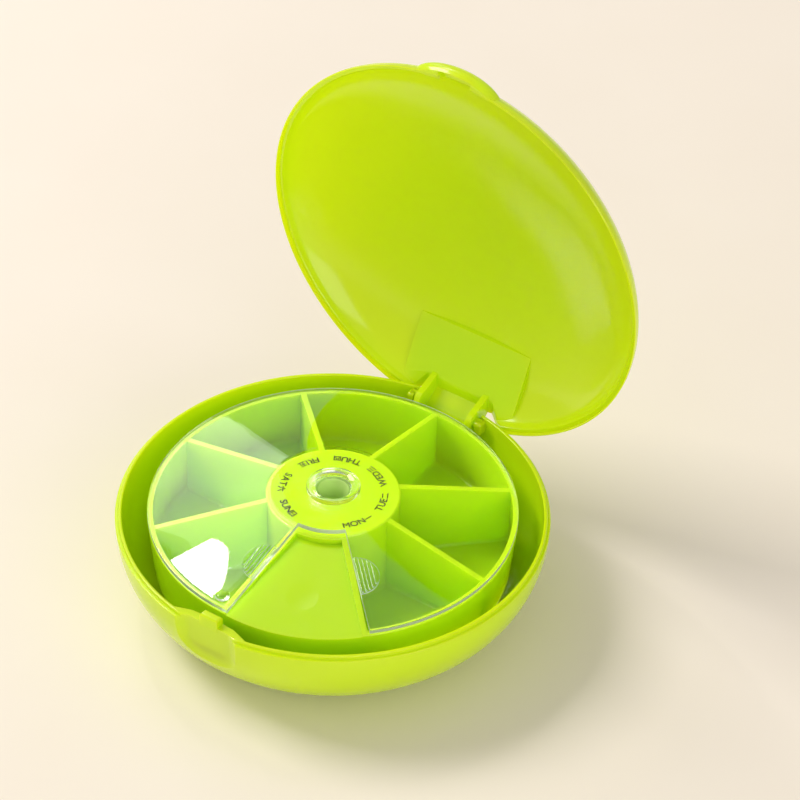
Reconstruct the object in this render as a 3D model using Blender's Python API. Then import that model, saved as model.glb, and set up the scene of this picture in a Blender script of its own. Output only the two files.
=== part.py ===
"""Round travel pill organizer: a domed two-shell case that holds a seven-compartment tray
under a clear turning cover. Metres, +Z up. The origin is the centre of the base's foot,
the catch faces -Y and the hinge is at +Y. The lid stands open on its stop."""

import math

import bmesh
import bpy
from mathutils import Matrix, Vector

MM = 0.001
GAP = 0.3                 # clearance between pieces that touch on the real case

# Case, in millimetres
CASE_R = 45.0             # outer radius at the parting line
WALL = 1.4                # wall of both shells
RIM_Z = 21.5              # height of the base's lip
FOOT_R = 24.0             # flat foot that the case stands on
BASE_POWER = 2.16         # superellipse power of the base's side
LID_H = 15.8              # height of the lid's dome above the lip
LID_POWER = 1.8
LIP_W = 0.7               # raised inner lip that locates the lid
LIP_H = 0.8
SEGMENTS = 72

# Tray and cover
SECTORS = 8
TRAY_R = 38.3             # outer radius of tray and cover
TRAY_BOTTOM = 7.3
TRAY_EDGE_Z = 21.1        # top of the tray's outer wall
HUB_R = 13.8
HUB_Z = 25.8              # top of the hub
TRAY_WALL = 1.2
HUB_HOLLOW_R = 12.4
BLANK_SHELF_DROP = 1.6    # the blank sector lies this far under the hub's edge
COVER_T = 1.0
COVER_TURN = math.radians(1.5)
GRIP_R = 3.9
GRIP_AT = 26.5            # distance of the finger grips from the centre
GRIP_H = 0.5
DETENT_AT = (34.3, 2.4)   # distance from the centre, offset from the window's edge
DETENT_R = 1.5

# Rivet and its post
POST_R = 6.2
POST_SOCKET_R = 4.3
POST_SOCKET_Z = 18.0
SHANK_R = 3.7
RIVET_BORE_R = 3.0
RIVET_HEAD_R = 5.6
RIVET_HEAD_H = 1.1

# Hinge
HINGE_Y = 42.0
HINGE_Z = RIM_Z - 1.5
OPEN_ANGLE = math.radians(88.0)
PIN_R = 1.2               # stubs on the lid's arms turn in blind holes in the brackets
PIN_HOLE_R = 1.28
PIN_HALF = 9.9
ARM_X = 6.5               # middle of each arm
ARM_T = 1.6
ARM_KNUCKLE_R = 2.3
ARM_RISE = 5.6            # how far each arm runs up inside the lid
SLOT_HALF = 7.9           # half width of the slot in the base's back wall
SLOT_R = 3.5              # the slot's floor is round about the pin
TONGUE_R = 3.15           # outer radius of the lid's tongue, about the pin
TONGUE_T = 1.2
BRACKET_HALF = 10.8       # the brackets beside the slot hold the pin's ends
BRACKET_Y = 39.8
RELIEF_HALF = 15.0        # the lid's rim is cut back this far each side of the hinge
RELIEF_H = 3.2

# Catch
CATCH_HALF = 2.35
CATCH_H = 2.0
NOTCH_HALF = 7.4          # thumb notch in the base's front wall
NOTCH_DEPTH = 2.2
TAB_HALF = 10.5           # thumb tab on the lid's front
TAB_REACH = 2.7
TAB_ROOT_Y = 42.4
POCKET_HALF = 3.9         # pocket in the tab for the catch block


def clear_scene():
    for thing in list(bpy.data.objects):
        bpy.data.objects.remove(thing, do_unlink=True)


def plastic(name, colour, roughness, alpha=1.0):
    """Glossy injection-moulded plastic."""
    material = bpy.data.materials.new(name)
    material.use_nodes = True
    shader = material.node_tree.nodes["Principled BSDF"]
    shader.inputs["Base Color"].default_value = (*colour, 1.0)
    shader.inputs["Roughness"].default_value = roughness
    shader.inputs["Metallic"].default_value = 0.0
    shader.inputs["Transmission Weight"].default_value = 1.0 - alpha
    return material


def add_object(name, mesh_data, material=None):
    thing = bpy.data.objects.new(name, mesh_data)
    bpy.context.scene.collection.objects.link(thing)
    if material is not None:
        mesh_data.materials.append(material)
    return thing


def finish_mesh(bm, name):
    bmesh.ops.remove_doubles(bm, verts=bm.verts, dist=0.00001)
    bmesh.ops.recalc_face_normals(bm, faces=bm.faces)
    mesh = bpy.data.meshes.new(name)
    bm.to_mesh(mesh)
    bm.free()
    mesh.shade_smooth()
    mesh.set_sharp_from_angle(angle=math.radians(35))
    return mesh


def turned(name, outline, segments=SEGMENTS):
    """A closed (radius, height) outline turned once round Z."""
    bm = bmesh.new()
    verts = [bm.verts.new((r * MM, 0, z * MM)) for r, z in outline]
    for i, vert in enumerate(verts):
        bm.edges.new((vert, verts[i - 1]))
    bmesh.ops.spin(bm, geom=list(bm.edges), cent=(0, 0, 0), axis=(0, 0, 1), angle=2 * math.pi,
                   steps=segments, use_merge=True)
    bmesh.ops.remove_doubles(bm, verts=bm.verts, dist=0.00001)
    loose = [edge for edge in bm.edges if not edge.link_faces]
    bmesh.ops.delete(bm, geom=loose, context="EDGES")
    return finish_mesh(bm, name)


def prism(name, outline, low, high, axis="X"):
    """An outline extruded along X (outline in Y, Z) or along Z (outline in X, Y)."""
    bm = bmesh.new()
    if axis == "X":
        corners = [Vector((low, a, b)) * MM for a, b in outline]
        along = Vector((high - low, 0, 0)) * MM
    else:
        corners = [Vector((a, b, low)) * MM for a, b in outline]
        along = Vector((0, 0, high - low)) * MM
    face = bm.faces.new([bm.verts.new(c) for c in corners])
    raised = bmesh.ops.extrude_face_region(bm, geom=[face])
    verts = [v for v in raised["geom"] if isinstance(v, bmesh.types.BMVert)]
    bmesh.ops.translate(bm, verts=verts, vec=along)
    return finish_mesh(bm, name)


def box(name, low, high):
    outline = [(low[0], low[1]), (high[0], low[1]), (high[0], high[1]), (low[0], high[1])]
    return prism(name, outline, low[2], high[2], axis="Z")


def arc(centre, radius, start, end, steps):
    """Points of an arc, angles in degrees."""
    angles = [math.radians(start + (end - start) * i / steps) for i in range(steps + 1)]
    return [(centre[0] + radius * math.cos(a), centre[1] + radius * math.sin(a)) for a in angles]


def combine(thing, tool_mesh, operation, place=None):
    """Adds or cuts a tool shape; the tool stays in the file as a hidden wire guide."""
    tool = add_object(f"{operation.lower()}_{tool_mesh.name}", tool_mesh)
    tool.parent = thing
    if place is not None:
        tool.matrix_local = place
    tool.hide_render = True
    tool.display_type = "WIRE"
    step = thing.modifiers.new(tool_mesh.name, "BOOLEAN")
    step.operation = operation
    step.solver = "EXACT"
    step.object = tool
    return tool


def side_curve(foot_r, rim_r, height, power, drop, steps):
    """A shell's side, from just under the rim to the edge of its foot, as (radius, depth)."""
    first = math.asin((drop / height) ** (power / 2)) if drop > 0 else 0.0
    points = []
    for i in range(steps + 1):
        turn = first + (math.pi / 2 - first) * i / steps
        radius = foot_r + (rim_r - foot_r) * max(math.cos(turn), 0.0) ** (2 / power)
        points.append((radius, height * math.sin(turn) ** (2 / power)))
    return points


def base_outline():
    """The base's outside, solid, with its locating lip and the top of the centre post."""
    outer = side_curve(FOOT_R, CASE_R, RIM_Z, BASE_POWER, LIP_H, 12)
    lip_r = CASE_R - WALL + LIP_W
    post_r = POST_R - 0.5
    post_top = HUB_Z - TRAY_WALL - GAP
    outline = [(0, post_top), (post_r, post_top), (post_r, RIM_Z), (lip_r, RIM_Z),
               (lip_r, RIM_Z - LIP_H)]
    outline += [(r, RIM_Z - depth) for r, depth in outer]
    return outline + [(0, 0)]


def base_cavity_outline():
    inner_r = CASE_R - WALL
    inner = side_curve(FOOT_R - 0.6, inner_r, RIM_Z - WALL, BASE_POWER, 0.0, 12)
    outline = [(POST_R, WALL), (POST_R, RIM_Z + 2), (inner_r, RIM_Z + 2)]
    return outline + [(r, RIM_Z - depth) for r, depth in inner]


def make_base(material):
    thing = add_object("base_shell", turned("base_shell", base_outline()), material)

    # The bowl leaves a thicker wall behind the thumb scoop and two brackets for the pin.
    bowl = combine(thing, turned("bowl", base_cavity_outline()), "DIFFERENCE")
    backing_y = -CASE_R + NOTCH_DEPTH + WALL
    backing = [(-9.4, -50), (9.4, -50), (8.6, -42.4), (5.2, backing_y), (-5.2, backing_y),
               (-8.6, -42.4)]
    combine(bowl, prism("scoop_wall", backing, -1, RIM_Z + 4, axis="Z"), "DIFFERENCE")
    for side in (-1, 1):
        near, far = sorted((side * (SLOT_HALF - 0.4), side * BRACKET_HALF))
        bracket = box(f"bracket_{side}", (near, BRACKET_Y, RIM_Z - 4.4), (far, 50, RIM_Z + 4))
        combine(bowl, bracket, "DIFFERENCE")
    socket = arc((0, 0), POST_SOCKET_R, 0, 345, 23)
    combine(thing, prism("post_socket", socket, POST_SOCKET_Z, RIM_Z + 9, axis="Z"), "DIFFERENCE")

    slot = [(38.0, RIM_Z + 2)] + arc((HINGE_Y, HINGE_Z), SLOT_R, 180, 360, 12)
    slot += [(50.0, HINGE_Z), (50.0, RIM_Z + 2)]
    combine(thing, prism("hinge_slot", slot, -SLOT_HALF, SLOT_HALF), "DIFFERENCE")
    hole = arc((HINGE_Y, HINGE_Z), PIN_HOLE_R, 0, 337.5, 15)
    combine(thing, prism("pin_hole", hole, -PIN_HALF - GAP, PIN_HALF + GAP), "DIFFERENCE")

    front = -CASE_R + NOTCH_DEPTH
    scoop = [(-50, 9.6), (front + 0.9, 9.6), (front + 0.35, 14.0), (front, RIM_Z + 1),
             (-50, RIM_Z + 1)]
    combine(thing, prism("thumb_scoop", scoop, -NOTCH_HALF, NOTCH_HALF), "DIFFERENCE")
    catch = [(front - 1.2, RIM_Z - 1.2), (front + 1.6, RIM_Z - 1.2),
             (front + 1.6, RIM_Z + CATCH_H - 0.4), (front + 1.2, RIM_Z + CATCH_H),
             (front - 0.5, RIM_Z + CATCH_H), (front - 1.2, RIM_Z + CATCH_H - 0.8)]
    combine(thing, prism("catch", catch, -CATCH_HALF, CATCH_HALF), "UNION")
    return thing


def lid_outline():
    """The lid's wall, with a step in the rim that fits over the base's lip."""
    bottom = RIM_Z - LIP_H + GAP
    low = RIM_Z + GAP
    inner_r = CASE_R - WALL
    step_r = inner_r + LIP_W + GAP
    outer = side_curve(0.0, CASE_R, RIM_Z + LID_H - bottom, LID_POWER, 0.0, 14)
    inner = side_curve(0.0, inner_r, RIM_Z + LID_H - WALL - low, LID_POWER, 0.0, 14)
    outline = [(step_r, low), (step_r, bottom)]
    outline += [(r, bottom + height) for r, height in outer]
    return outline + [(r, low + height) for r, height in reversed(inner)]


def make_lid(material, hinge):
    """The lid is shaped as if it were closed, then carried open by the hinge."""
    closed = Matrix.Translation((0, -HINGE_Y * MM, -HINGE_Z * MM))
    mesh = turned("lid_shell", lid_outline())
    mesh.transform(closed)
    thing = add_object("lid_shell", mesh, material)
    thing.parent = hinge

    bottom = RIM_Z - LIP_H + GAP
    tab = [(TAB_HALF * math.sin(a), -TAB_ROOT_Y - (CASE_R + TAB_REACH - TAB_ROOT_Y) * math.cos(a))
           for a in (math.radians(t) for t in range(-90, 91, 15))]
    combine(thing, prism("thumb_tab", tab, RIM_Z + GAP, RIM_Z + 3.2, axis="Z"), "UNION", closed)
    pocket = box("catch_pocket", (-POCKET_HALF, -CASE_R - 0.9, bottom - 1),
                 (POCKET_HALF, -39.0, RIM_Z + CATCH_H + 0.6))
    combine(thing, pocket, "DIFFERENCE", closed)

    relief = [(-RELIEF_HALF, RIM_Z - 3), (RELIEF_HALF, RIM_Z - 3), (RELIEF_HALF, RIM_Z + 0.8),
              (SLOT_HALF, RIM_Z + RELIEF_H), (-SLOT_HALF, RIM_Z + RELIEF_H),
              (-RELIEF_HALF, RIM_Z + 0.8)]
    along_y = Matrix.Rotation(math.pi / 2, 4, "Z")
    relief = prism("hinge_relief", [(-x, z) for x, z in relief], 38.0, 50.0)
    combine(thing, relief, "DIFFERENCE", closed @ along_y)
    tongue = arc((HINGE_Y, HINGE_Z), TONGUE_R, 30, -60, 10)
    tongue += arc((HINGE_Y, HINGE_Z), TONGUE_R - TONGUE_T, -60, 30, 10)
    tongue += [(HINGE_Y - 0.6, RIM_Z + RELIEF_H + 0.8), (HINGE_Y + 0.1, RIM_Z + RELIEF_H + 0.8)]
    half = ARM_X + ARM_T / 2
    combine(thing, prism("tongue", tongue, -half, half), "UNION", closed)
    for side in (-1, 1):
        arm = arc((HINGE_Y, HINGE_Z), ARM_KNUCKLE_R, 180, 360, 10)
        arm += [(HINGE_Y, RIM_Z + RELIEF_H + 0.2), (HINGE_Y - ARM_KNUCKLE_R, RIM_Z + ARM_RISE)]
        low = side * ARM_X - ARM_T / 2
        combine(thing, prism(f"arm_{side}", arm, low, low + ARM_T), "UNION", closed)
        near, far = sorted((side * (ARM_X + 0.3), side * PIN_HALF))
        stub = prism(f"pin_stub_{side}", arc((HINGE_Y, HINGE_Z), PIN_R, 0, 337.5, 15), near, far)
        combine(thing, stub, "UNION", closed)
    return thing


def cone_z(radius):
    """Height of the tray's dividers, which fall from the hub to the outer wall."""
    share = (radius - HUB_R) / (TRAY_R - HUB_R)
    return HUB_Z + (TRAY_EDGE_Z - HUB_Z) * share


def sector_cut(name, inner_r, outer_r, low, high, first, margin, draft=0.0):
    """A sector-shaped block between two dividers, its sides parallel to them."""
    last = first + 2 * math.pi / SECTORS
    rings = []
    for z, shrink in ((low, draft), (high, 0.0)):
        inner, outer = inner_r + shrink, outer_r - shrink
        side = margin + shrink
        ring = []
        for radius, way in ((inner, 1), (outer, -1)):
            start = first + math.asin(side / radius)
            end = last - math.asin(side / radius)
            turns = [start + (end - start) * i / 8 for i in range(9)][::way]
            ring += [Vector((radius * math.cos(a), radius * math.sin(a), z)) * MM for a in turns]
        rings.append(ring)
    bm = bmesh.new()
    loops = [[bm.verts.new(p) for p in ring] for ring in rings]
    bm.faces.new(loops[0])
    bm.faces.new(loops[1])
    count = len(loops[0])
    for i in range(count):
        j = (i + 1) % count
        bm.faces.new((loops[0][i], loops[0][j], loops[1][j], loops[1][i]))
    return finish_mesh(bm, name)


def make_tray(material):
    hub_under = HUB_Z - TRAY_WALL
    hole_r = SHANK_R + GAP
    outline = [(hole_r, hub_under), (hole_r, HUB_Z), (HUB_R, HUB_Z), (TRAY_R, TRAY_EDGE_Z),
               (TRAY_R - 1.4, TRAY_BOTTOM + 0.8), (TRAY_R - 2.2, TRAY_BOTTOM),
               (HUB_HOLLOW_R, TRAY_BOTTOM), (HUB_HOLLOW_R, hub_under)]
    thing = add_object("pill_tray", turned("pill_tray", outline), material)
    step = 2 * math.pi / SECTORS
    floor = TRAY_BOTTOM + TRAY_WALL
    wall_r = TRAY_R - TRAY_WALL
    blank_start = -math.pi / 2
    shelf = sector_cut("blank_shelf", HUB_R, wall_r + 5, HUB_Z - BLANK_SHELF_DROP, HUB_Z + 3,
                       blank_start, TRAY_WALL / 2)
    tilt = math.atan2(HUB_Z - BLANK_SHELF_DROP - TRAY_EDGE_Z + 0.7, TRAY_R - HUB_R)
    middle = blank_start + step / 2
    pivot = Vector((HUB_R * math.cos(middle), HUB_R * math.sin(middle), HUB_Z - BLANK_SHELF_DROP))
    axis = Vector((-math.sin(middle), math.cos(middle), 0))
    lean = (Matrix.Translation(pivot * MM) @ Matrix.Rotation(tilt, 4, axis)
            @ Matrix.Translation(-pivot * MM))
    combine(thing, shelf, "DIFFERENCE", lean)
    for number in range(1, SECTORS):
        pocket = sector_cut(f"pocket_{number}", HUB_R, wall_r, floor, HUB_Z + 2,
                            blank_start + number * step, TRAY_WALL / 2, draft=0.35)
        combine(thing, pocket, "DIFFERENCE")
    return thing


def make_cover(material, spin):
    hole_r = SHANK_R + GAP
    under = HUB_Z + GAP
    edge = TRAY_EDGE_Z + GAP
    outline = [(hole_r, under), (hole_r, under + COVER_T), (HUB_R, under + COVER_T),
               (TRAY_R, edge + COVER_T), (TRAY_R, edge), (HUB_R, under)]
    thing = add_object("clear_cover", turned("clear_cover", outline), material)
    thing.parent = spin
    start = -math.pi / 2
    window = sector_cut("window", HUB_R - 1.0, TRAY_R + 5, edge - 2, under + 4, start, 0.0)
    slope = math.atan2(under - edge, TRAY_R - HUB_R)
    for number, edge_turn in enumerate((start, start + 2 * math.pi / SECTORS)):
        side = -1 if number == 0 else 1
        out = Vector((math.cos(edge_turn), math.sin(edge_turn), 0))
        top = under + COVER_T + (edge - under) * (GRIP_AT - HUB_R) / (TRAY_R - HUB_R)
        half = arc((0, 0), GRIP_R, 0, side * 180, 10)
        place = (Matrix.Translation((out * GRIP_AT + Vector((0, 0, top))) * MM)
                 @ Matrix.Rotation(edge_turn, 4, "Z") @ Matrix.Rotation(slope, 4, "Y"))
        combine(thing, prism(f"grip_{number}", half, -0.4, GRIP_H, axis="Z"), "UNION", place)
    reach, offset = DETENT_AT
    top = under + COVER_T + (edge - under) * (reach - HUB_R) / (TRAY_R - HUB_R)
    dot = arc((-offset, -reach), DETENT_R, 0, 330, 11)
    combine(thing, prism("detent", dot, top - 0.5, top + 0.5, axis="Z"), "UNION")
    combine(thing, window, "DIFFERENCE")
    return thing


def make_rivet(material):
    cover_top = HUB_Z + GAP + COVER_T
    seat = cover_top + GAP
    crown = seat + RIVET_HEAD_H
    low = POST_SOCKET_Z + 1.0
    outline = [(RIVET_BORE_R, low), (RIVET_BORE_R, seat - 0.6), (4.5, crown), (5.3, crown),
               (RIVET_HEAD_R, crown - 0.4), (RIVET_HEAD_R, seat), (SHANK_R, seat),
               (SHANK_R, low + 1.6), (SHANK_R + 0.25, low + 1.3), (SHANK_R - 0.1, low)]
    return add_object("centre_rivet", turned("centre_rivet", outline, 40), material)


def pivot(name, location, rotation):
    empty = bpy.data.objects.new(name, None)
    empty.location = Vector(location) * MM
    empty.rotation_euler = rotation
    bpy.context.scene.collection.objects.link(empty)
    return empty


def main():
    clear_scene()
    lime = plastic("lime_shell", (0.50, 0.74, 0.03), 0.28)
    lime_tray = plastic("lime_tray", (0.47, 0.78, 0.05), 0.34)
    clear = plastic("clear_plastic", (0.92, 0.98, 0.92), 0.06, alpha=0.25)
    lid_hinge = pivot("lid_hinge_axis", (0, HINGE_Y, HINGE_Z), (-OPEN_ANGLE, 0, 0))
    cover_spin = pivot("cover_axis", (0, 0, 0), (0, 0, COVER_TURN))
    make_base(lime)
    make_lid(lime, lid_hinge)
    make_tray(lime_tray)
    make_cover(clear, cover_spin)
    make_rivet(clear)


main()
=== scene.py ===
"""Looks of a round travel pill organizer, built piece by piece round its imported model."""

import math

import bpy
from mathutils import Matrix, Vector


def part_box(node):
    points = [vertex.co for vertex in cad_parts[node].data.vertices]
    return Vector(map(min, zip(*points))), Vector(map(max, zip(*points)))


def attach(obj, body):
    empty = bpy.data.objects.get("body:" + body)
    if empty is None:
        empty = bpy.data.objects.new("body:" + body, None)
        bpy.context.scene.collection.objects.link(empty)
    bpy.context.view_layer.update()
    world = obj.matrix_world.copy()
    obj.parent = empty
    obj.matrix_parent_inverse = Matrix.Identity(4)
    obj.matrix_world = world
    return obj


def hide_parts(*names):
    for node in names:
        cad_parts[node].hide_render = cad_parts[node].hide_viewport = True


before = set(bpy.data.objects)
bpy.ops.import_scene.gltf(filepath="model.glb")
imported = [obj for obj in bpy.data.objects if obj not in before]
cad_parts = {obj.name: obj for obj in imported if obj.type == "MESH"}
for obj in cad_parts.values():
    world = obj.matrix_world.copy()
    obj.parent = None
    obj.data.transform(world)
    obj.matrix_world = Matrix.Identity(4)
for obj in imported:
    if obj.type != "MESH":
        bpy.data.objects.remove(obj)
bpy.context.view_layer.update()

# ---------------------------------------------------------------------------------------
# Base shell
# The saucer-shaped lower half, one moulding in lime plastic: a thin locating lip, a post in
# the middle that the tray's rivet snaps into, a thumb scoop in front with the catch over it,
# and at the back a slot whose two brackets hold the lid's pin stubs.
# ---------------------------------------------------------------------------------------
mm = 0.001
_, base_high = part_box("base_shell")
case_r = base_high.x / mm
lip_z = 21.5
shoulder_z = 20.7
wall = 1.4
inner_r = case_r - wall
foot_r = 24.0
base_power = 2.16
post_top = base_high.z / mm
hinge_y, hinge_z = 42.0, 20.0
slot_half, slot_r = 7.9, 3.5
bracket_in, bracket_out = 7.2, 9.5
stub_hole_r, stub_hole_half = 1.28, 9.0


def draw_line(name, points):
    """Draws a line from point to point, in mm, and leaves it selected in edit mode."""
    bpy.ops.object.select_all(action="DESELECT")
    bpy.ops.mesh.primitive_plane_add(size=mm)
    line = bpy.context.object
    line.name = name
    line.data.name = name
    bpy.ops.object.mode_set(mode="EDIT")
    bpy.ops.mesh.merge(type="CENTER")
    bpy.ops.transform.translate(value=Vector(points[0]) * mm)
    for start, end in zip(points, points[1:]):
        step = (Vector(end) - Vector(start)) * mm
        bpy.ops.mesh.extrude_region_move(TRANSFORM_OT_translate={"value": step})
    bpy.ops.mesh.select_all(action="SELECT")
    return line


def close_up():
    """Merges doubles, drops loose edges and points every face outwards, in edit mode."""
    bpy.ops.mesh.select_all(action="SELECT")
    bpy.ops.mesh.remove_doubles(threshold=0.002 * mm)
    bpy.ops.mesh.delete_loose()
    bpy.ops.mesh.select_all(action="SELECT")
    bpy.ops.mesh.normals_make_consistent(inside=False)
    bpy.ops.object.mode_set(mode="OBJECT")


def turn(name, outline, steps=144):
    """Spins a (radius, height) outline once round the case's middle."""
    piece = draw_line(name, [(r, 0, z) for r, z in outline])
    bpy.ops.mesh.spin(steps=steps, angle=2 * math.pi, center=(0, 0, 0), axis=(0, 0, 1))
    close_up()
    return piece


def extrude_outline(name, points, along):
    """Fills a closed outline and extrudes it by a vector, both in mm."""
    piece = draw_line(name, points)
    bpy.ops.mesh.edge_face_add()
    bpy.ops.mesh.extrude_region_move(TRANSFORM_OT_translate={"value": Vector(along) * mm})
    close_up()
    return piece


def curve(centre, radius, start, end, steps):
    """Points of an arc in mm, angles in degrees."""
    turns = [math.radians(start + (end - start) * i / steps) for i in range(steps + 1)]
    return [(centre[0] + radius * math.cos(t), centre[1] + radius * math.sin(t)) for t in turns]


def shell_side(edge_r, rim_r, height, power, drop, steps):
    """A shell's superellipse side as (radius, depth), from under the rim to the flat edge."""
    first = math.asin((drop / height) ** (power / 2)) if drop > 0 else 0.0
    side = []
    for i in range(steps + 1):
        t = first + (math.pi / 2 - first) * i / steps
        radius = edge_r + (rim_r - edge_r) * max(math.cos(t), 0.0) ** (2 / power)
        side.append((radius, height * math.sin(t) ** (2 / power)))
    return side


def block(name, low, high, rounding=0.0, segments=3):
    """A block between two corners, in mm, its edges bevelled."""
    low, high = Vector(low) * mm, Vector(high) * mm
    bpy.ops.object.select_all(action="DESELECT")
    bpy.ops.mesh.primitive_cube_add(size=1, location=(low + high) / 2, scale=high - low)
    bpy.context.object.name = name
    bpy.ops.object.transform_apply(location=True, rotation=True, scale=True)
    if rounding:
        bpy.ops.object.mode_set(mode="EDIT")
        bpy.ops.mesh.bevel(offset=rounding * mm, segments=segments, affect="EDGES")
        bpy.ops.object.mode_set(mode="OBJECT")
    return bpy.context.object


def rod(name, centre, radius, half_length, axis, vertices=32):
    """A round bar along X or Z, in mm."""
    bpy.ops.object.select_all(action="DESELECT")
    rotation = (0, math.pi / 2, 0) if axis == "X" else (0, 0, 0)
    bpy.ops.mesh.primitive_cylinder_add(vertices=vertices, radius=radius * mm,
                                        depth=2 * half_length * mm,
                                        location=Vector(centre) * mm, rotation=rotation)
    bpy.context.object.name = name
    bpy.ops.object.transform_apply(location=True, rotation=True, scale=True)
    return bpy.context.object


def shape(piece, tool, operation):
    """Cuts a tool out of a piece, or joins it on, and throws the tool away."""
    change = piece.modifiers.new(tool.name, "BOOLEAN")
    change.operation = operation
    change.object = tool
    bpy.context.view_layer.objects.active = piece
    bpy.ops.object.modifier_apply(modifier=change.name)
    bpy.data.objects.remove(tool)


def round_edges(piece, wanted, width, segments):
    """Rounds the edges both of whose ends pass a test on their place; width in mm."""
    bpy.ops.object.mode_set(mode="EDIT")
    bpy.ops.mesh.select_all(action="DESELECT")
    bpy.ops.object.mode_set(mode="OBJECT")
    for edge in piece.data.edges:
        edge.select = all(wanted(piece.data.vertices[i].co) for i in edge.vertices)
    bpy.ops.object.mode_set(mode="EDIT")
    bpy.ops.mesh.bevel(offset=width * mm, segments=segments, affect="EDGES")
    bpy.ops.object.mode_set(mode="OBJECT")


def ease_edges(piece, width, sharper_than=38, segments=2):
    """Rounds the moulding's sharp edges and smooths its shading."""
    bpy.ops.object.select_all(action="DESELECT")
    piece.select_set(True)
    bpy.context.view_layer.objects.active = piece
    change = piece.modifiers.new("eased edges", "BEVEL")
    change.width = width * mm
    change.segments = segments
    change.limit_method = "ANGLE"
    change.angle_limit = math.radians(sharper_than)
    change.use_clamp_overlap = True
    bpy.ops.object.modifier_apply(modifier=change.name)
    bpy.ops.object.shade_smooth_by_angle(angle=math.radians(30))
    change = piece.modifiers.new("flat faces stay flat", "WEIGHTED_NORMAL")
    change.keep_sharp = True
    bpy.ops.object.modifier_apply(modifier=change.name)


def new_material(name):
    """A new material with its shader, and a node for the piece's own coordinates."""
    material = bpy.data.materials.new(name)
    material.use_nodes = True
    place = material.node_tree.nodes.new("ShaderNodeTexCoord")
    return material, material.node_tree.nodes["Principled BSDF"], place


def grain(material, place, scale, detail=2):
    """A noise pattern that stays fixed to the piece, its scale in cells to the metre."""
    noise = material.node_tree.nodes.new("ShaderNodeTexNoise")
    noise.inputs["Scale"].default_value = scale
    noise.inputs["Detail"].default_value = detail
    material.node_tree.links.new(place.outputs["Object"], noise.inputs["Vector"])
    return noise


def two_tones(material, noise, deep, pale):
    """Colours a material between two tones by a noise pattern."""
    nodes, links = material.node_tree.nodes, material.node_tree.links
    tint = nodes.new("ShaderNodeMix")
    tint.data_type = "RGBA"
    tint.inputs["A"].default_value = (*deep, 1)
    tint.inputs["B"].default_value = (*pale, 1)
    links.new(noise.outputs["Fac"], tint.inputs["Factor"])
    links.new(tint.outputs["Result"], nodes["Principled BSDF"].inputs["Base Color"])


def uneven_gloss(material, noise, noise_range, roughness_range):
    """Lets a noise pattern set how rough a material is."""
    nodes, links = material.node_tree.nodes, material.node_tree.links
    sheen = nodes.new("ShaderNodeMapRange")
    sheen.inputs["From Min"].default_value, sheen.inputs["From Max"].default_value = noise_range
    sheen.inputs["To Min"].default_value, sheen.inputs["To Max"].default_value = roughness_range
    links.new(noise.outputs["Fac"], sheen.inputs["Value"])
    links.new(sheen.outputs["Result"], nodes["Principled BSDF"].inputs["Roughness"])


def moulded_plastic(name, pale, deep, roughness, glow):
    """Glossy moulded plastic: faint colour drift, fine mould texture and light let in."""
    material, shader, place = new_material(name)
    nodes, links = material.node_tree.nodes, material.node_tree.links
    shader.inputs["IOR"].default_value = 1.49
    shader.inputs["Subsurface Weight"].default_value = glow
    shader.inputs["Subsurface Radius"].default_value = (1.0, 1.0, 0.1)
    shader.inputs["Subsurface Scale"].default_value = 3.5 * mm
    two_tones(material, grain(material, place, 55, 3), deep, pale)
    uneven_gloss(material, grain(material, place, 420, 6), (0.35, 0.7),
                 (roughness - 0.03, roughness + 0.06))
    skin = grain(material, place, 260, 4)
    relief = nodes.new("ShaderNodeBump")
    relief.inputs["Strength"].default_value = 0.1
    relief.inputs["Distance"].default_value = 0.006 * mm
    links.new(skin.outputs["Fac"], relief.inputs["Height"])
    links.new(relief.outputs["Normal"], shader.inputs["Normal"])
    return material


case_plastic = moulded_plastic("case lime plastic", (0.63, 0.86, 0.006), (0.59, 0.82, 0.004),
                               0.15, 0.6)

lip_out = inner_r + 0.7
outer_side = shell_side(foot_r, case_r, lip_z, base_power, lip_z - shoulder_z + 0.25, 30)
inner_side = shell_side(foot_r - 0.6, inner_r, lip_z - wall, base_power, 0.25, 26)
base_outline = [(0, 0.5), (21.6, 0.5), (22.0, 0.35), (22.2, 0.0)]
base_outline += [(r, lip_z - depth) for r, depth in reversed(outer_side)]
base_outline += curve((case_r - 0.25, shoulder_z - 0.25), 0.25, 0, 90, 4)[1:]
base_outline += [(lip_out + 0.1, shoulder_z), (lip_out, shoulder_z + 0.1)]
base_outline += curve((lip_out - 0.22, lip_z - 0.22), 0.22, 0, 90, 4)
base_outline += curve((inner_r + 0.22, lip_z - 0.22), 0.22, 90, 180, 4)
base_outline += [(r, lip_z - depth) for r, depth in inner_side[1:]]
base_outline += [(7.4, wall), (6.6, wall + 0.15), (6.25, wall + 0.8), (6.2, wall + 1.6)]
base_outline += [(6.0, post_top - 0.3), (5.7, post_top), (4.5, post_top), (4.3, post_top - 0.2)]
base_outline += [(4.3, 18.0), (0, 18.0)]
base_shell = turn("base_shell_moulding", base_outline)

# The wall is thicker behind the scoop, from this height up to just under the lip's top.
backing_foot = 14.0
backing = [(-9.0, -42.87), (-8.3, -42.55), (-5.2, -41.5), (0, -41.15), (5.2, -41.5), (8.3, -42.55),
           (9.0, -42.87), (4.5, -43.57), (0, -43.8), (-4.5, -43.57), (-9.0, -42.87)]
backing = [(x, y, backing_foot) for x, y in backing]
shape(base_shell, extrude_outline("scoop backing", backing, (0, 0, lip_z - backing_foot - 0.03)),
      "UNION")

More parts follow.
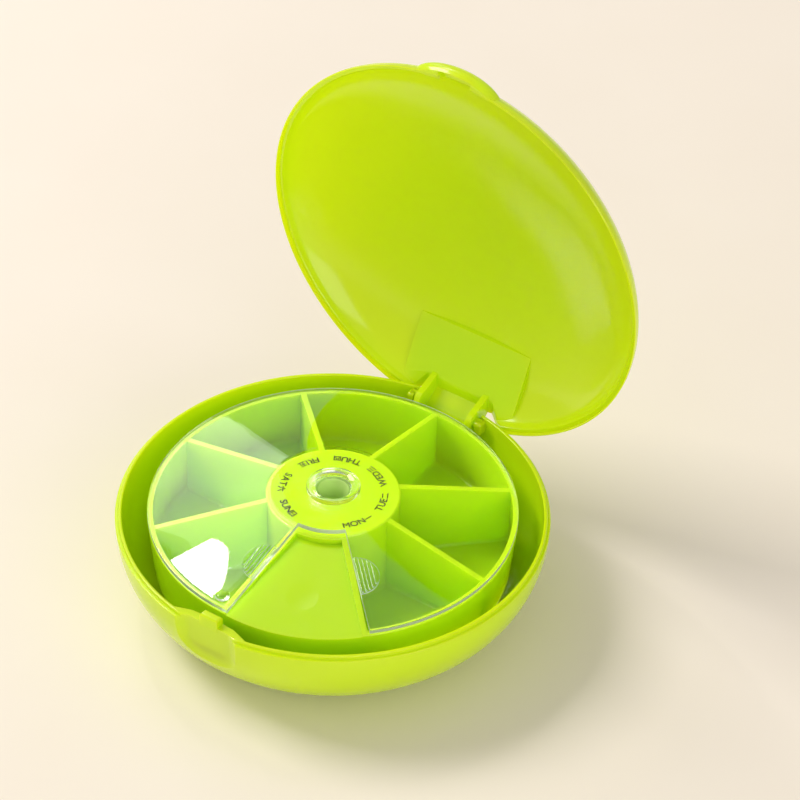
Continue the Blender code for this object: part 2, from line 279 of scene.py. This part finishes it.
# The brackets stand inside the wall, and one bore through both takes the lid's pin stubs.
for side in (-1, 1):
    near, far = sorted((side * bracket_in, side * bracket_out))
    shape(base_shell, block("bracket", (near, 40.3, 18.0), (far, 43.05, 21.2), 0.6), "UNION")
slot_floor = rod("slot floor", (0, hinge_y, hinge_z), slot_r, slot_half, "X", 48)
shape(base_shell, slot_floor, "DIFFERENCE")
slot_mouth = block("slot mouth", (-slot_half, 38.5, hinge_z), (slot_half, 50, 26))
shape(base_shell, slot_mouth, "DIFFERENCE")
stub_hole = rod("stub hole", (0, hinge_y, hinge_z), stub_hole_r, stub_hole_half, "X")
shape(base_shell, stub_hole, "DIFFERENCE")

# The scoop is a pocket with rounded corners and slanted sides; its floor leans inwards.
scoop_w, scoop_floor, scoop_round = 7.4, 9.4, 5.2
scoop_front, scoop_top = -52, 27
scoop_line = [(-scoop_w, scoop_top)]
scoop_line += curve((scoop_round - scoop_w, scoop_floor + scoop_round), scoop_round, 180, 270, 8)
scoop_line += curve((scoop_w - scoop_round, scoop_floor + scoop_round), scoop_round, 270, 360, 8)
scoop_line += [(scoop_w, scoop_top), (-scoop_w, scoop_top)]
scoop = draw_line("thumb scoop", [(x, scoop_front, z) for x, z in scoop_line])
bpy.ops.mesh.edge_face_add()
for reach, squeeze in ((7.6, 1.0), (0.9, 0.78), (0.35, 0.8)):
    bpy.ops.mesh.extrude_region_move(TRANSFORM_OT_translate={"value": (0, reach * mm, 0)})
    bpy.ops.transform.resize(value=(squeeze, 1, 0.5 + squeeze / 2),
                             center_override=(0, 0, scoop_top * mm))
bpy.ops.mesh.select_all(action="SELECT")
bpy.ops.transform.rotate(value=math.radians(-4.3), orient_axis="X",
                         center_override=(0, -42.9 * mm, 21.5 * mm))
close_up()
shape(base_shell, scoop, "DIFFERENCE")

# The catch stands on the lip, its top edges rounded for the lid to ride over.
catch_top = 23.4
catch = block("catch", (-2.2, -43.25, 20.4), (2.2, -41.25, catch_top))
round_edges(catch, lambda corner: corner.z > (catch_top - 0.4) * mm, 0.55, 3)
shape(base_shell, catch, "UNION")

ease_edges(base_shell, 0.16)
base_shell.data.materials.append(case_plastic)
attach(base_shell, "base")
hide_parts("base_shell")

# ---------------------------------------------------------------------------------------
# Pill tray
# A fixed tub in the same lime plastic, seated on the base's post. Eight thin walls slope down
# from the printed hub to the rim: seven sectors between them are deep, and the eighth is
# closed by a sheet with a shallow thumb mark.
# ---------------------------------------------------------------------------------------
tray_low, tray_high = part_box("pill_tray")
tray_r = tray_high.x / mm
hub_z = tray_high.z / mm
hub_r = 13.8
tray_edge_z = 21.1
tray_floor_z = tray_low.z / mm
tray_wall = 1.2
sector = 360 / 8
blank_z = hub_z - 1.6

tray_plastic = moulded_plastic("tray lime plastic", (0.56, 0.83, 0.012), (0.52, 0.79, 0.008),
                               0.2, 0.6)

tray_outline = [(4.0, hub_z - tray_wall), (4.0, hub_z - 0.2), (4.2, hub_z)]
tray_outline += curve((hub_r - 0.4, hub_z - 0.4), 0.4, 90, 20, 4)
tray_outline += curve((tray_r - 0.35, tray_edge_z - 0.3), 0.35, 75, 0, 4)
tray_outline += curve((tray_r - 3.4, tray_floor_z + 2.2), 2.2, -10, -90, 6)
tray_outline += [(12.6, tray_floor_z), (12.4, tray_floor_z + 0.2), (12.4, hub_z - tray_wall - 0.4),
                 (12.0, hub_z - tray_wall), (4.0, hub_z - tray_wall)]
pill_tray = turn("pill_tray_moulding", tray_outline)


def sector_block(name, first, inner, outer, low, high, margin):
    """A block as wide as the room between two walls, its sides parallel to them, in mm."""
    points = []
    for radius, way in ((inner, 1), (outer, -1)):
        start = math.radians(first) + math.asin(margin / radius)
        end = math.radians(first + sector) - math.asin(margin / radius)
        turns = [start + (end - start) * i / 12 for i in range(13)][::way]
        points += [(radius * math.cos(t), radius * math.sin(t), low) for t in turns]
    points.append(points[0])
    return extrude_outline(name, points, (0, 0, high - low))


for number in range(1, 8):
    first = -90 + sector * number
    room = sector_block("compartment", first, hub_r, tray_r - tray_wall, tray_floor_z + 1.2, 30,
                        tray_wall / 2)
    round_edges(room, lambda corner: corner.z < 10 * mm, 0.9, 4)
    shape(pill_tray, room, "DIFFERENCE")

# The blank sector's sheet falls in one plane from just under the hub to the rim.
shelf = sector_block("blank", -90, hub_r, tray_r + 6, blank_z, 34, tray_wall / 2)
middle = math.radians(-90 + sector / 2)
hub_edge = Vector((hub_r * math.cos(middle), hub_r * math.sin(middle), blank_z)) * mm
fall = math.atan2(blank_z - tray_edge_z + 0.7, tray_r - hub_r)
lean_axis = Vector((-math.sin(middle), math.cos(middle), 0))
shelf.matrix_world = (Matrix.Translation(hub_edge) @ Matrix.Rotation(fall, 4, lean_axis)
                      @ Matrix.Translation(-hub_edge))
bpy.ops.object.transform_apply(location=True, rotation=True, scale=True)
shape(pill_tray, shelf, "DIFFERENCE")

# The thumb mark is a shallow dish, the bite of a large ball centred over the sheet.
mark_r, mark_depth = 3.6, 0.13
mark_ball = (mark_r ** 2 + mark_depth ** 2) / (2 * mark_depth)
mark_at = 28.0
mark_z = blank_z - (mark_at - hub_r) * math.tan(fall)
shelf_up = Vector((math.sin(fall) * math.cos(middle), math.sin(fall) * math.sin(middle),
                   math.cos(fall)))
mark_foot = Vector((mark_at * math.cos(middle), mark_at * math.sin(middle), mark_z))
bpy.ops.object.select_all(action="DESELECT")
bpy.ops.mesh.primitive_uv_sphere_add(
    segments=96, ring_count=96, radius=mark_ball * mm,
    location=(mark_foot + shelf_up * (mark_ball - mark_depth)) * mm)
shape(pill_tray, bpy.context.object, "DIFFERENCE")

ease_edges(pill_tray, 0.22, 35)
pill_tray.data.materials.append(tray_plastic)
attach(pill_tray, "base")
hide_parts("pill_tray")

# ---------------------------------------------------------------------------------------
# Day marks
# Black print on the hub, each day's three letters and its numeral, read from outside the
# case. Each mark stands in the middle of its own compartment's sector.
# ---------------------------------------------------------------------------------------
ink, ink_shader, ink_place = new_material("day mark ink")
two_tones(ink, grain(ink, ink_place, 1800), (0.004, 0.005, 0.004), (0.015, 0.018, 0.010))
ink_shader.inputs["Roughness"].default_value = 0.45

letter_h = 1.5
print_r = 10.6
letter_gap = 0.14
print_turn = -3.6
capital_share, numeral_share = 0.7, 0.86
ink_lift, ink_flat = 0.015, 0.4
letters = []
for day, name in enumerate(("MON\u4e00", "TUE\u4e8c", "WED\u4e09", "THU\u56db", "FRI\u4e94",
                            "SAT\u516d", "SUN\u65e5")):
    row = []
    for letter in name:
        bpy.ops.object.select_all(action="DESELECT")
        bpy.ops.object.text_add()
        glyph = bpy.context.object
        glyph.data.body = letter
        glyph.data.size = letter_h / (capital_share if letter.isascii() else numeral_share)
        glyph.data.bevel_depth = 0.045
        glyph.data.bevel_resolution = 0
        bpy.ops.object.convert(target="MESH")
        bpy.ops.object.mode_set(mode="EDIT")
        bpy.ops.mesh.select_all(action="SELECT")
        bpy.ops.mesh.remove_doubles(threshold=0.0005)
        bpy.ops.mesh.normals_make_consistent(inside=False)
        bpy.ops.object.mode_set(mode="OBJECT")
        xs = [v.co.x for v in glyph.data.vertices]
        row.append((glyph, min(xs), max(xs) - min(xs)))
    length = sum(width for _, _, width in row) + letter_gap * (len(row) - 1)
    along = -length / 2
    for glyph, left, width in row:
        turned = math.radians(-90 + sector * (day + 1.5) + print_turn)
        turned += (along + width / 2) / print_r
        out = Vector((math.cos(turned), math.sin(turned), 0))
        right = Vector((-out.y, out.x, 0))
        foot = out * (print_r + letter_h / 2) - right * (left + width / 2)
        foot.z = hub_z + ink_lift
        glyph.matrix_world = (Matrix.Translation(foot * mm)
                              @ Matrix((right, -out, (0, 0, 1))).transposed().to_4x4()
                              @ Matrix.Diagonal((mm, mm, ink_flat * mm, 1)))
        along += width + letter_gap
        letters.append(glyph)
bpy.ops.object.select_all(action="DESELECT")
for glyph in letters:
    glyph.select_set(True)
bpy.context.view_layer.objects.active = letters[0]
bpy.ops.object.join()
day_marks = bpy.context.object
day_marks.name = "day_marks"
bpy.ops.object.transform_apply(location=True, rotation=True, scale=True)
day_marks.data.materials.append(ink)
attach(day_marks, "base")

# ---------------------------------------------------------------------------------------
# Clear cover
# A thin cone of clear plastic, held by the rivet, that turns over the tray and opens one
# sector at a time. It has two ribbed half-round grips beside its window and a small round
# bump at the rim. Its cut, ribbed and moulded edges look frosted.
# ---------------------------------------------------------------------------------------
cover_r = tray_r
cover_t = 1.0
cover_hub_z = hub_z + 0.3
cover_edge_z = tray_edge_z + 0.3
cover_turned = 1.5
cover_fall = math.atan2(cover_hub_z - cover_edge_z, cover_r - hub_r)


def clear_plastic(name, tint, roughness):
    """Clear plastic with fine handling marks, which lets lamps reach the pieces under it."""
    material, shader, place = new_material(name)
    nodes, links = material.node_tree.nodes, material.node_tree.links
    shader.inputs["Base Color"].default_value = (*tint, 1)
    shader.inputs["Transmission Weight"].default_value = 1
    shader.inputs["IOR"].default_value = 1.49
    uneven_gloss(material, grain(material, place, 300, 8), (0.55, 0.8),
                 (roughness, roughness + 0.05))
    ray = nodes.new("ShaderNodeLightPath")
    through = nodes.new("ShaderNodeBsdfTransparent")
    through.inputs["Color"].default_value = (0.93, 0.97, 0.93, 1)
    either = nodes.new("ShaderNodeMixShader")
    links.new(ray.outputs["Is Shadow Ray"], either.inputs["Fac"])
    links.new(shader.outputs["BSDF"], either.inputs[1])
    links.new(through.outputs["BSDF"], either.inputs[2])
    links.new(either.outputs["Shader"], nodes["Material Output"].inputs["Surface"])
    return material


def frosted_plastic(name, tint, clearness):
    """The milky look of clear plastic on a cut, ribbed or moulded edge."""
    material = clear_plastic(name, tint, 0.3)
    shader = material.node_tree.nodes["Principled BSDF"]
    shader.inputs["Transmission Weight"].default_value = clearness
    return material


cover_clear = clear_plastic("clear cover plastic", (0.97, 0.99, 0.965), 0.015)
cover_edge = frosted_plastic("frosted cover edge", (0.86, 0.93, 0.82), 0.5)

cover_outline = [(4.0, cover_hub_z), (4.0, cover_hub_z + cover_t)]
cover_outline += [(hub_r - 0.9, cover_hub_z + cover_t), (hub_r, cover_hub_z + cover_t - 0.1)]
cover_outline += [(cover_r - 1.1, cover_edge_z + cover_t + 0.1)]
cover_outline += curve((cover_r - 0.25, cover_edge_z + cover_t - 0.25), 0.25, 80, 0, 3)
cover_outline += [(cover_r, cover_edge_z + 0.15), (cover_r - 0.15, cover_edge_z)]
cover_outline += [(hub_r, cover_hub_z - 0.08), (hub_r - 0.9, cover_hub_z), (4.0, cover_hub_z)]
clear_cover = turn("clear_cover_moulding", cover_outline)


def on_cover(radius, degrees):
    """A point on the cover's top, in mm."""
    t = math.radians(degrees)
    height = cover_hub_z + cover_t - (radius - hub_r) * math.tan(cover_fall)
    return Vector((radius * math.cos(t), radius * math.sin(t), height))


bump_r, bump_at, bump_turn = 1.5, 35.9, -94.5
bpy.ops.object.select_all(action="DESELECT")
bpy.ops.mesh.primitive_uv_sphere_add(segments=32, ring_count=16, radius=bump_r * mm,
                                     location=on_cover(bump_at, bump_turn) * mm,
                                     scale=(1, 1, 0.55))
bpy.ops.object.transform_apply(location=True, rotation=True, scale=True)
shape(clear_cover, bpy.context.object, "UNION")
window = sector_block("window", -90, 12.7, cover_r + 6, 15, 34, 0.0)
shape(clear_cover, window, "DIFFERENCE")

# Each grip is a half-round pad that leans with the cone, with ribs along its straight side.
grip_r, grip_at, grip_h = 4.6, 24.8, 0.55
rib_pitch, rib_w = 0.78, 0.42
for side, edge_turn in ((-1, -90), (1, -90 + sector)):
    centre = on_cover(grip_at, edge_turn)
    half = curve((0, 0), grip_r, 0, side * 180, 20)
    half = [(x, y, -0.35) for x, y in half]
    half.append(half[0])
    pad = extrude_outline("grip", half, (0, 0, 0.6))
    parts = [pad]
    ribs = int(grip_r / rib_pitch)
    for rib in range(ribs):
        offset = rib_pitch * (rib + 0.45)
        reach = math.sqrt(grip_r ** 2 - (offset + rib_w / 2) ** 2) - 0.15
        near, far = sorted((side * (offset - rib_w / 2), side * (offset + rib_w / 2)))
        parts.append(block("rib", (-reach, near, -0.2), (reach, far, grip_h), 0.12, 2))
    seated = (Matrix.Translation(centre * mm) @ Matrix.Rotation(math.radians(edge_turn), 4, "Z")
              @ Matrix.Rotation(cover_fall, 4, "Y"))
    for part in parts:
        part.matrix_world = seated
        bpy.ops.object.select_all(action="DESELECT")
        part.select_set(True)
        bpy.context.view_layer.objects.active = part
        bpy.ops.object.transform_apply(location=True, rotation=True, scale=True)
        shape(clear_cover, part, "UNION")

# Clear faces keep their true normals, because borrowed ones would bend what shows through.
ease_edges(clear_cover, 0.1, 40)
bpy.ops.mesh.customdata_custom_splitnormals_clear()
bpy.ops.object.shade_smooth_by_angle(angle=math.radians(3))
for face in clear_cover.data.polygons:
    if abs(face.normal.z) > 0.9995:
        face.use_smooth = False
clear_cover.matrix_world = Matrix.Rotation(math.radians(cover_turned), 4, "Z")
bpy.ops.object.transform_apply(location=True, rotation=True, scale=True)
clear_cover.data.materials.append(cover_clear)
clear_cover.data.materials.append(cover_edge)
for face in clear_cover.data.polygons:
    face.material_index = 1 if abs(face.normal.z) < 0.6 else 0
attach(clear_cover, "cover")
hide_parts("clear_cover")

# ---------------------------------------------------------------------------------------
# Centre rivet
# A hollow snap rivet in clear plastic. Its dished head holds the cover down, and its shank
# passes the cover and the hub and snaps into the base's post. The shank is frosted and painted
# pale lime, a painted stand-in for the lime parts round it showing through the clear plastic.
# ---------------------------------------------------------------------------------------
rivet_low, rivet_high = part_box("centre_rivet")
head_r = rivet_high.x / mm
crown = rivet_high.z / mm
seat = crown - 1.1
rivet_foot = rivet_low.z / mm
rivet_outline = [(3.0, rivet_foot), (3.0, seat - 0.5), (3.15, seat - 0.2)]
rivet_outline += [(4.55, crown - 0.12)]
rivet_outline += curve((head_r - 0.4, crown - 0.35), 0.35, 110, 0, 6)
rivet_outline += [(head_r, seat + 0.15), (head_r - 0.15, seat), (3.85, seat), (3.7, seat - 0.15)]
rivet_outline += [(3.7, rivet_foot + 1.6), (3.95, rivet_foot + 1.3), (3.6, rivet_foot)]
rivet_outline += [(3.0, rivet_foot)]
centre_rivet = turn("centre_rivet_moulding", rivet_outline, 96)
bpy.ops.object.shade_smooth_by_angle(angle=math.radians(40))
rivet_head = clear_plastic("clear rivet plastic", (0.93, 0.97, 0.93), 0.06)
# The shank's lime tint is painted: it stands in for the lime parts showing through the clear
# shank.
shank_frost_painted_lime = frosted_plastic("rivet shank frost and painted lime", (0.66, 0.86, 0.30), 0.25)
centre_rivet.data.materials.append(rivet_head)
centre_rivet.data.materials.append(shank_frost_painted_lime)
for face in centre_rivet.data.polygons:
    face.material_index = 1 if face.center.z < (seat - 0.1) * mm else 0
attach(centre_rivet, "base")
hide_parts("centre_rivet")

# ---------------------------------------------------------------------------------------
# Lid shell
# The domed upper half, one lime moulding, made here as if shut and then swung open on the
# hinge. It has a stepped rim, a thumb tab with the catch pocket, a flat pad over the hinge,
# and two arms with pin stubs, joined by a curved tongue that fills the base's slot.
# ---------------------------------------------------------------------------------------
open_angle = math.radians(88)
lid_h = 15.8
lid_power = 1.8
skirt_z = lip_z - 0.5
step_z = lip_z + 0.3
step_r = lip_out + 0.3
lid_outer = shell_side(0.0, case_r, lip_z + lid_h - skirt_z, lid_power, 0.0, 36)
lid_inner = shell_side(0.0, inner_r, lip_z + lid_h - wall - step_z, lid_power, 0.0, 34)
lid_outline = [(step_r, step_z), (step_r, skirt_z + 0.1), (step_r + 0.1, skirt_z)]
lid_outline += [(case_r - 0.18, skirt_z), (case_r - 0.03, skirt_z + 0.12)]
lid_outline += [(r, skirt_z + h) for r, h in lid_outer[2:]]
lid_outline += [(r, step_z + h) for r, h in reversed(lid_inner[2:])]
lid_outline += [(inner_r, step_z + 0.2), (inner_r + 0.15, step_z), (step_r, step_z)]
lid_shell = turn("lid_shell_moulding", lid_outline)

# The hinge pad is a slab with a slanted face, trimmed to stay inside the dome's wall.
pad_half = 13.9
pad_side = [(41.8, 23.1), (28.5, 30.6), (28.5, 40), (46, 40), (46, 23.1), (41.8, 23.1)]
hinge_pad = extrude_outline("hinge pad", [(-pad_half, y, z) for y, z in pad_side],
                            (2 * pad_half, 0, 0))
core = turn("dome core", [(0, 21)] + [(r - 0.4, skirt_z + h - 0.4) for r, h in lid_outer[:-1]]
            + [(0, lip_z + lid_h - 0.4)])
shape(hinge_pad, core, "INTERSECT")
shape(lid_shell, hinge_pad, "UNION")

# The thumb tab is a flattened ball on the rim, cut level with the skirt and cut back inside
# to clear the base's lip. The catch pocket opens into it from below.
tab_back = -42.9
bpy.ops.object.select_all(action="DESELECT")
bpy.ops.mesh.primitive_uv_sphere_add(segments=64, ring_count=32, radius=mm,
                                     location=Vector((0, -41.6, skirt_z + 1.5)) * mm,
                                     scale=(10.6, 5.2, 3.4))
bpy.context.object.name = "thumb tab"
bpy.ops.object.transform_apply(location=True, rotation=True, scale=True)
tab = bpy.context.object
shape(tab, block("under the tab", (-20, -60, 10), (20, -30, skirt_z + 0.05)), "DIFFERENCE")
shape(tab, block("behind the tab", (-20, tab_back, 10), (20, -30, 40)), "DIFFERENCE")
shape(tab, rod("lip under the tab", (0, 0, step_z - 5), step_r, 5, "Z", 144), "DIFFERENCE")
shape(tab, rod("room behind the tab", (0, 0, step_z + 0.6), inner_r - 0.1, 0.62, "Z", 144),
      "DIFFERENCE")
shape(lid_shell, tab, "UNION")
shape(lid_shell, block("catch pocket", (-3.9, -45.9, 19), (3.9, -39, 24.1), 0.4), "DIFFERENCE")

# The rim is cut away over the hinge, so that the lid's edge clears the base as it swings.
relief_back = 38
relief_line = [(-14, 18), (14, 18), (14, 20.9), (13.2, 21.3), (11, 22.6), (8.2, 24.7),
               (-8.2, 24.7), (-11, 22.6), (-13.2, 21.3), (-14, 20.9), (-14, 18)]
relief_line = [(x, relief_back, z) for x, z in relief_line]
shape(lid_shell, extrude_outline("hinge relief", relief_line, (0, 12, 0)), "DIFFERENCE")

# The tongue and the arms are drawn round the hinge's axis.
arm_x, arm_t, knuckle_r = 6.5, 1.35, 2.3
stub_x, stub_r, stub_half = 7.8, 1.2, 1.0
tongue = curve((hinge_y, hinge_z), 3.15, 30, -60, 14)
tongue += curve((hinge_y, hinge_z), 1.95, -60, 30, 14)
tongue += [(hinge_y - 0.6, 25.5), (hinge_y + 0.1, 25.5)]
tongue = [(-arm_x - arm_t / 2, y, z) for y, z in tongue]
tongue.append(tongue[0])
shape(lid_shell, extrude_outline("tongue", tongue, (2 * arm_x + arm_t, 0, 0)), "UNION")
for side in (-1, 1):
    arm = curve((hinge_y, hinge_z), knuckle_r, 180, 360, 24)
    arm += [(hinge_y, lip_z + 3.4), (hinge_y - 2.3, lip_z + 5.8), (hinge_y - 4.4, lip_z + 6.5)]
    arm = [(side * arm_x - arm_t / 2, y, z) for y, z in arm]
    arm.append(arm[0])
    shape(lid_shell, extrude_outline("arm", arm, (arm_t, 0, 0)), "UNION")
    stub = rod("stub", (side * stub_x, hinge_y, hinge_z), stub_r, stub_half, "X")
    shape(lid_shell, stub, "UNION")

ease_edges(lid_shell, 0.16)
hinge = Vector((0, hinge_y, hinge_z)) * mm
lid_shell.matrix_world = (Matrix.Translation(hinge) @ Matrix.Rotation(-open_angle, 4, "X")
                          @ Matrix.Translation(-hinge))
bpy.ops.object.transform_apply(location=True, rotation=True, scale=True)
lid_shell.data.materials.append(case_plastic)
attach(lid_shell, "lid")
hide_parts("lid_shell")

# ---------------------------------------------------------------------------------------
# Set
# A pale cream table in an even room light, a square key lamp from the left and behind, a
# broad front lamp, two back lamps, one tall and one small, whose glare lies on the cover,
# and a camera a long way off with a long lens.
# ---------------------------------------------------------------------------------------
bpy.ops.object.select_all(action="DESELECT")
bpy.ops.mesh.primitive_plane_add(size=6, location=(0, 0, 0))
table_top = bpy.context.object
table_top.name = "table_top"
table_finish, table_shader, table_place = new_material("cream table")
table_shader.inputs["Roughness"].default_value = 0.7
table_shader.inputs["Specular IOR Level"].default_value = 0.2
two_tones(table_finish, grain(table_finish, table_place, 30), (0.93, 0.84, 0.73),
          (0.95, 0.87, 0.77))
table_top.data.materials.append(table_finish)

studio = bpy.data.worlds.new("studio")
studio.use_nodes = True
studio_light = studio.node_tree.nodes["Background"]
studio_light.inputs["Color"].default_value = (1.0, 0.97, 0.93, 1)
studio_light.inputs["Strength"].default_value = 0.43
bpy.context.scene.world = studio
bpy.context.scene.view_settings.view_transform = "Standard"

azimuth = math.radians(33.72)
elevation = math.radians(39.88)
roll = math.radians(1.53)
distance = 0.9284
aim = Vector((0.0028, 0.0196, 0.0391))
level = Vector((math.cos(azimuth), math.sin(azimuth), 0))
back = Vector((math.sin(azimuth) * math.cos(elevation),
               -math.cos(azimuth) * math.cos(elevation), math.sin(elevation)))
upright = back.cross(level)
right = level * math.cos(roll) + upright * math.sin(roll)
up = upright * math.cos(roll) - level * math.sin(roll)
bpy.ops.object.camera_add(location=aim + back * distance,
                          rotation=Matrix((right, up, back)).transposed().to_euler())
camera = bpy.context.object
camera.data.sensor_width = 36
camera.data.lens = 202.5
camera.data.clip_end = 20
bpy.context.scene.camera = camera

away = Vector((-math.sin(azimuth), math.cos(azimuth), 0))
case_middle = Vector((0, 0, 0.03))


def soft_lamp(name, offset, size, power, colour):
    """A soft lamp that faces the middle of the case from an offset in metres."""
    facing = offset.to_track_quat("Z", "Y").to_euler()
    bpy.ops.object.light_add(type="AREA", location=case_middle + offset, rotation=facing)
    lamp = bpy.context.object
    lamp.name = name
    lamp.data.shape = "RECTANGLE"
    lamp.data.size, lamp.data.size_y = size
    lamp.data.energy = power
    lamp.data.color = colour


soft_lamp("key lamp", away * 0.40 - level * 0.80 + Vector((0, 0, 0.90)), (0.55, 0.55), 9.8,
          (1.0, 0.975, 0.94))
soft_lamp("front lamp", level * 0.45 - away * 1.15 + Vector((0, 0, 0.42)), (1.2, 0.8), 6.2,
          (1.0, 0.98, 0.95))
tall_turn, small_turn = math.radians(141), math.radians(151.3)
soft_lamp("tall back lamp", Vector((math.cos(tall_turn) * 0.95, math.sin(tall_turn) * 0.95, 0.78)),
          (0.28, 0.80), 1.15, (1.0, 1.0, 1.0))
soft_lamp("small back lamp",
          Vector((math.cos(small_turn) * 0.659, math.sin(small_turn) * 0.659, 0.84)),
          (0.03, 0.17), 0.5, (1.0, 1.0, 1.0))
